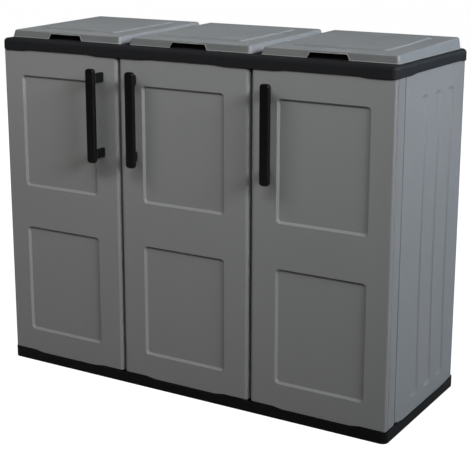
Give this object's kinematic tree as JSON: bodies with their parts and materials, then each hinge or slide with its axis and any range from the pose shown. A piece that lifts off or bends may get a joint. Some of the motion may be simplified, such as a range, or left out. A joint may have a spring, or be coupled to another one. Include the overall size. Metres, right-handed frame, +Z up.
{
  "type": "recycling cabinet",
  "caption": "Free-standing plastic cabinet for sorted waste, with upright compartments behind swinging doors and a bag opening under each hinged lid",
  "frame": {"origin": "centre of the flat underside of the base, on the floor", "axes": "+X to the right seen from the front, +Y to the back, +Z up; the doors face -Y"},
  "size_m": [1.02, 0.423, 0.8275],
  "materials": {
    "grey_plastic": "fine matt grain",
    "black_plastic": "satin",
    "steel": "zinc plated",
    "ferrite": "ground"
  },
  "bodies": {
    "cabinet": {"base_tray": "black_plastic", "top_frame": "black_plastic", "side_panel_left": "grey_plastic", "side_panel_right": "grey_plastic", "divider_left": "grey_plastic", "divider_right": "grey_plastic", "back_panel_left": "grey_plastic", "back_panel_middle": "grey_plastic", "back_panel_right": "grey_plastic", "door_pivot_pins": "steel", "catch_magnets": "ferrite", "base_screws": "steel", "lid_hinge_pins": "steel", "bag_ring_left": "black_plastic", "bag_ring_middle": "black_plastic", "bag_ring_right": "black_plastic"},
    "left_door": {"door_left": "grey_plastic", "door_liner_left": "grey_plastic", "handle_left": "black_plastic", "handle_screws_left": "steel", "strike_plate_left": "steel"},
    "middle_door": {"door_middle": "grey_plastic", "door_liner_middle": "grey_plastic", "handle_middle": "black_plastic", "handle_screws_middle": "steel", "strike_plate_middle": "steel"},
    "right_door": {"door_right": "grey_plastic", "door_liner_right": "grey_plastic", "handle_right": "black_plastic", "handle_screws_right": "steel", "strike_plate_right": "steel"},
    "left_lid": {"lid_left": "grey_plastic"},
    "middle_lid": {"lid_middle": "grey_plastic"},
    "right_lid": {"lid_right": "grey_plastic"}
  },
  "joints": [
    {"name": "left_door_swing", "type": "hinge", "parent": "cabinet", "child": "left_door", "pos_m": [-0.4962, -0.18, 0.4], "axis": [0, 0, -1], "range_deg": [0, 110]},
    {"name": "middle_door_swing", "type": "hinge", "parent": "cabinet", "child": "middle_door", "pos_m": [0.159, -0.18, 0.4], "axis": [0, 0, 1], "range_deg": [0, 100]},
    {"name": "right_door_swing", "type": "hinge", "parent": "cabinet", "child": "right_door", "pos_m": [0.4962, -0.18, 0.4], "axis": [0, 0, 1], "range_deg": [0, 110]},
    {"name": "left_lid_lift", "type": "hinge", "parent": "cabinet", "child": "left_lid", "pos_m": [-0.342, 0.18, 0.807], "axis": [-1, 0, 0], "range_deg": [0, 95]},
    {"name": "middle_lid_lift", "type": "hinge", "parent": "cabinet", "child": "middle_lid", "pos_m": [0, 0.18, 0.807], "axis": [-1, 0, 0], "range_deg": [0, 95]},
    {"name": "right_lid_lift", "type": "hinge", "parent": "cabinet", "child": "right_lid", "pos_m": [0.342, 0.18, 0.807], "axis": [-1, 0, 0], "range_deg": [0, 95]}
  ]
}
